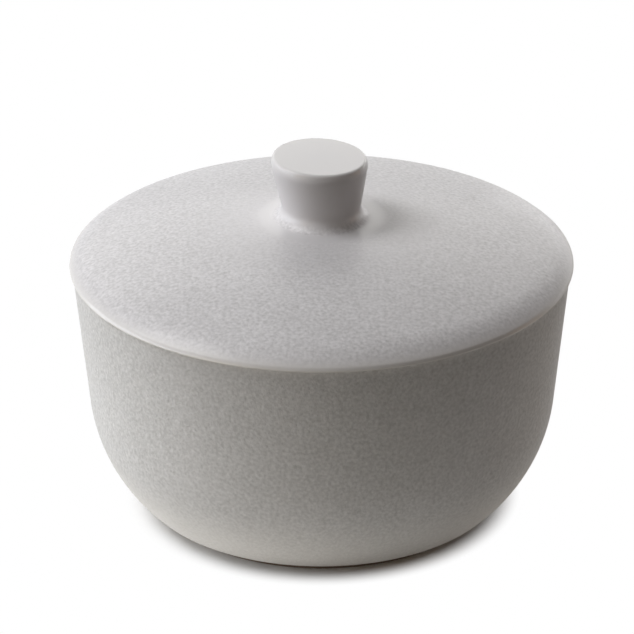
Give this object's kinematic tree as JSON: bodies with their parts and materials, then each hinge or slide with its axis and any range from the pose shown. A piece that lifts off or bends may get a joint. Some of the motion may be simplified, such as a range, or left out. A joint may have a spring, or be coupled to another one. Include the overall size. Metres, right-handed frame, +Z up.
{
  "type": "sugar bowl with lid",
  "caption": "Round stoneware sugar bowl with a low foot ring and a domed lift-off lid that seats on the rim and carries a waisted knob.",
  "frame": {"origin": "on the table, at the centre of the foot ring", "axes": "+Z up along the axis of both turned pieces; +X is the side that the knob's top face falls towards; the picture looks along +Y"},
  "size_m": [0.1104, 0.1104, 0.0817],
  "materials": {
    "grey_glaze": "satin-matt light grey stoneware glaze with a fine mottle and a bare foot"
  },
  "bodies": {
    "bowl": {"bowl": "grey_glaze"},
    "lid": {"lid": "grey_glaze"}
  },
  "joints": [
    {"name": "lid_lift", "type": "slide", "parent": "bowl", "child": "lid", "axis": [0, 0, 1], "range_m": [0, 0.1]}
  ]
}
